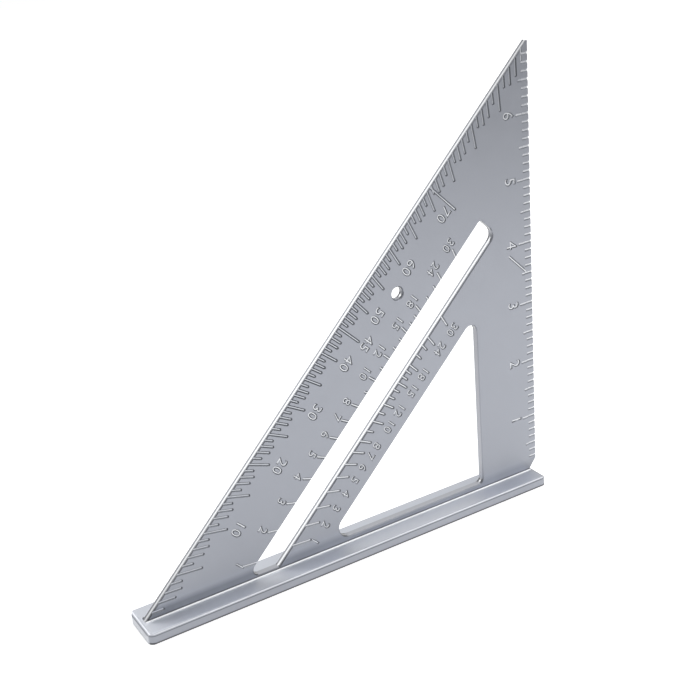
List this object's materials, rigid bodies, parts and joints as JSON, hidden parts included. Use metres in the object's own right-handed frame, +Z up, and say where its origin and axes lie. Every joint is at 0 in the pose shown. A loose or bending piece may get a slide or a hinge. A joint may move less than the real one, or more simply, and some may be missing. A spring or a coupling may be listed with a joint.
{
  "type": "rafter square",
  "caption": "Right-triangle layout square in aluminium: a graduated blade with a slanted slot, window and hanging hole, standing in a T-shaped fence bar.",
  "frame": {"origin": "centre of the bounding box on the underside of the fence", "axes": "+X along the fence towards the pivot end, +Y square to the blade towards its back face, +Z up the blade's upright edge towards the tip"},
  "size_m": [0.1818, 0.019, 0.1838],
  "materials": {
    "blade_aluminium": "satin, engraved graduations",
    "fence_aluminium": "satin, machined faces"
  },
  "bodies": {
    "root": {"blade": "blade_aluminium", "fence": "fence_aluminium"}
  },
  "joints": []
}
